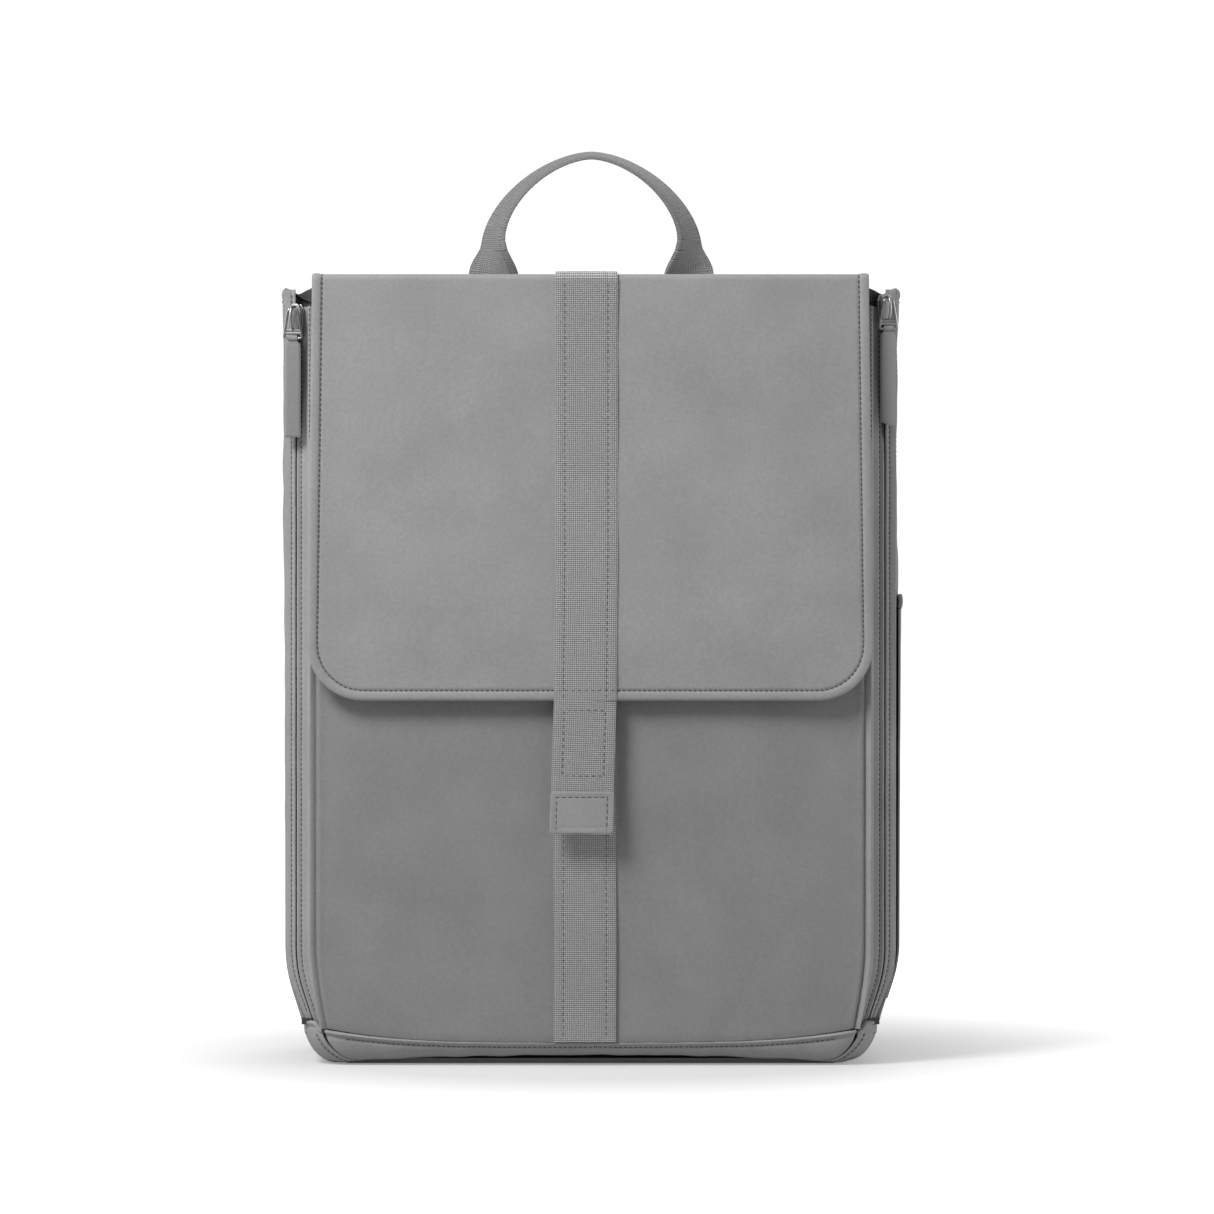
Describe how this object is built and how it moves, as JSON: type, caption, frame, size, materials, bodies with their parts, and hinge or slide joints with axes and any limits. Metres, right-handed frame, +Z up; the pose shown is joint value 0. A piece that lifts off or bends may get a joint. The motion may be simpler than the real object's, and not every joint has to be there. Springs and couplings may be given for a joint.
{
  "type": "changing backpack",
  "caption": "Stiffened rectangular changing backpack with a long front flap, webbing closure tab, corner zips, carry handle and padded shoulder straps.",
  "frame": {"origin": "middle of the bag's box at floor level", "axes": "+Z up, -Y to the front with the flap, +X to the side with the pocket"},
  "size_m": [0.3247, 0.1774, 0.484],
  "materials": {
    "coated_fabric": "matte coated twill",
    "webbing": "ribbed polyester webbing",
    "dark_fabric": "smooth lining cloth",
    "back_mesh": "spacer mesh",
    "zip_metal": "satin plated",
    "coated_pull": "matte soft-touch",
    "black_plastic": "matte moulded",
    "zip_tape_cloth": "woven zip tape",
    "foam": "closed-cell foam"
  },
  "bodies": {
    "bag": {"front_panel": "coated_fabric", "front_gusset_left": "coated_fabric", "front_gusset_right": "coated_fabric", "side_gusset_left": "coated_fabric", "side_gusset_right": "coated_fabric", "back_panel": "back_mesh", "top_yoke": "coated_fabric", "base_panel": "dark_fabric", "base_board": "black_plastic", "base_band_front": "coated_fabric", "base_corner_left": "coated_fabric", "base_corner_right": "coated_fabric", "base_band_back": "coated_fabric", "base_piping": "dark_fabric", "lining": "dark_fabric", "laptop_divider": "dark_fabric", "slip_pocket": "dark_fabric", "frame_sheet": "black_plastic", "back_foam": "foam", "back_pad_left": "back_mesh", "back_pad_right": "back_mesh", "back_pad_lumbar": "back_mesh", "zip_tape_left": "zip_tape_cloth", "zip_tape_right": "zip_tape_cloth", "zip_coil_left": "zip_tape_cloth", "zip_coil_right": "zip_tape_cloth", "zip_stops": "zip_metal", "front_webbing": "webbing", "clasp_base": "zip_metal", "side_pocket": "coated_fabric", "pocket_hem": "coated_fabric", "handle_feet": "webbing", "strap_yoke": "back_mesh", "strap_wing_left": "coated_fabric", "strap_wing_right": "coated_fabric", "strap_web_left": "webbing", "strap_web_right": "webbing"},
    "lid": {"lid_panel": "coated_fabric", "lid_webbing": "webbing"},
    "flap": {"flap_panel": "coated_fabric", "flap_lining": "dark_fabric", "flap_webbing": "webbing"},
    "tab": {"closure_tab": "webbing", "tab_patch": "coated_fabric", "clasp_cap": "zip_metal"},
    "slider_left": {"slider_left": "zip_metal"},
    "slider_right": {"slider_right": "zip_metal"},
    "bail_left": {"bail_left": "zip_metal"},
    "bail_right": {"bail_right": "zip_metal"},
    "pull_left": {"pull_left": "coated_pull"},
    "pull_right": {"pull_right": "coated_pull"},
    "handle": {"carry_handle": "webbing"},
    "strap_left": {"strap_pad_left": "back_mesh", "ladder_lock_left": "black_plastic", "strap_tail_left": "webbing"},
    "strap_right": {"strap_pad_right": "back_mesh", "ladder_lock_right": "black_plastic", "strap_tail_right": "webbing"}
  },
  "joints": [
    {"name": "lid_fold", "type": "hinge", "parent": "bag", "child": "lid", "pos_m": [0, 0.04325, 0.4055], "axis": [-1, 0, 0], "range_deg": [0, 90]},
    {"name": "flap_fold", "type": "hinge", "parent": "lid", "child": "flap", "pos_m": [0, -0.07735, 0.4038], "axis": [-1, 0, 0], "range_deg": [0, 180]},
    {"name": "tab_fold", "type": "hinge", "parent": "flap", "child": "tab", "pos_m": [0, -0.08505, 0.18775], "axis": [-1, 0, 0], "range_deg": [0, 120]},
    {"name": "handle_fold", "type": "hinge", "parent": "bag", "child": "handle", "pos_m": [0, 0.06465, 0.404], "axis": [-1, 0, 0], "range_deg": [0, 80]},
    {"name": "strap_swing_left", "type": "hinge", "parent": "bag", "child": "strap_left", "pos_m": [0, 0.06665, 0.38], "axis": [1, 0, 0], "range_deg": [0, 12]},
    {"name": "strap_swing_right", "type": "hinge", "parent": "bag", "child": "strap_right", "pos_m": [0, 0.06665, 0.38], "axis": [1, 0, 0], "range_deg": [0, 12]},
    {"name": "zip_slide_left", "type": "slide", "parent": "bag", "child": "slider_left", "axis": [0, 0, -1], "range_m": [0, 0.285]},
    {"name": "bail_swing_left", "type": "hinge", "parent": "slider_left", "child": "bail_left", "pos_m": [-0.15346, -0.07056, 0.3882], "axis": [-1, 0, 0], "range_deg": [0, 90]},
    {"name": "pull_swing_left", "type": "hinge", "parent": "bail_left", "child": "pull_left", "pos_m": [-0.15346, -0.06965, 0.3744], "axis": [-1, 0, 0], "range_deg": [0, 90]},
    {"name": "zip_slide_right", "type": "slide", "parent": "bag", "child": "slider_right", "axis": [0, 0, -1], "range_m": [0, 0.285]},
    {"name": "bail_swing_right", "type": "hinge", "parent": "slider_right", "child": "bail_right", "pos_m": [0.15346, -0.07056, 0.3932], "axis": [-1, 0, 0], "range_deg": [0, 90]},
    {"name": "pull_swing_right", "type": "hinge", "parent": "bail_right", "child": "pull_right", "pos_m": [0.15346, -0.06965, 0.3794], "axis": [-1, 0, 0], "range_deg": [0, 90]}
  ]
}
